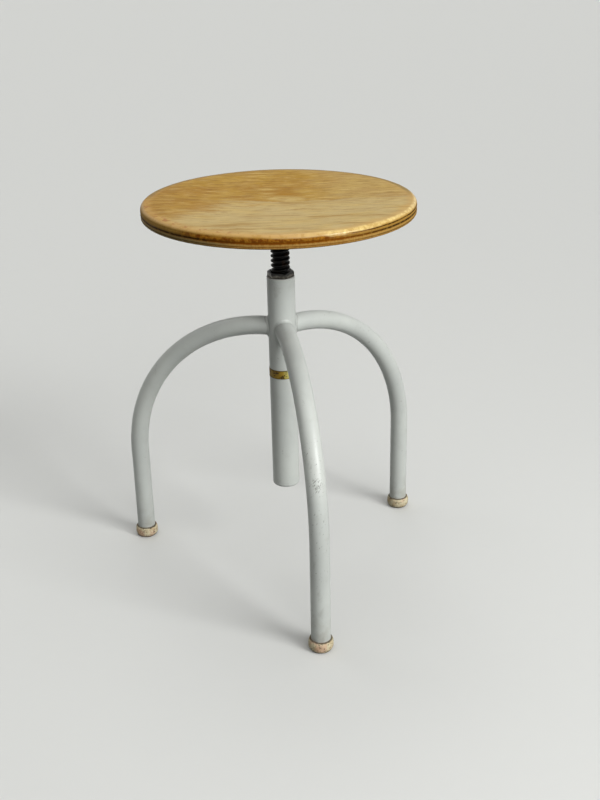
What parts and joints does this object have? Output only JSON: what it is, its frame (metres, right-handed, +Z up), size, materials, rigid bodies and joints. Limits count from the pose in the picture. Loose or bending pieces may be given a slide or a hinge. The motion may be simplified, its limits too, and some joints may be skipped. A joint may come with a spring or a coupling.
{
  "type": "stool",
  "caption": "Height-adjustable workshop stool: round plywood seat on a threaded spindle in a tubular column with three bent tube legs on rubber feet.",
  "frame": {"origin": "on the floor, under the column's axis, at the centre of the circle of the three feet", "axes": "+Z up along the column's axis; -Y towards the front leg; the other two legs stand at 30 and 150 degrees from +X"},
  "size_m": [0.437, 0.4298, 0.543],
  "materials": {
    "seat_wood": "worn clear lacquer",
    "frame_paint": "semi-gloss, scuffed",
    "dark_steel": "greasy, blackened",
    "zinc": "dull",
    "foot_rubber": "matt, dirty",
    "band_yellow": "worn tape"
  },
  "bodies": {
    "base": {"spindle_nut": "dark_steel", "column_tube": "frame_paint", "column_cap": "frame_paint", "marker_band": "band_yellow", "leg_front": "frame_paint", "leg_right": "frame_paint", "leg_left": "frame_paint", "leg_weld_front": "frame_paint", "leg_weld_right": "frame_paint", "leg_weld_left": "frame_paint", "foot_front": "foot_rubber", "foot_right": "foot_rubber", "foot_left": "foot_rubber"},
    "washer": {"stop_washer": "zinc"},
    "seat": {"seat_board": "seat_wood", "seat_plate": "dark_steel", "seat_screws": "zinc", "spindle": "dark_steel", "spindle_weld": "dark_steel", "stop_nut": "zinc"}
  },
  "joints": [
    {"name": "seat_rise", "type": "slide", "parent": "base", "child": "washer", "axis": [0, 0, 1], "range_m": [-0.066, 0.17]},
    {"name": "seat_turn", "type": "hinge", "parent": "washer", "child": "seat", "pos_m": [0, 0, 0.4], "axis": [0, 0, 1], "range_deg": [-3600, 9360]}
  ],
  "couplings": [
    {"joint": "seat_rise", "follows": "seat_turn", "m_per_rad": 0.0010345}
  ]
}
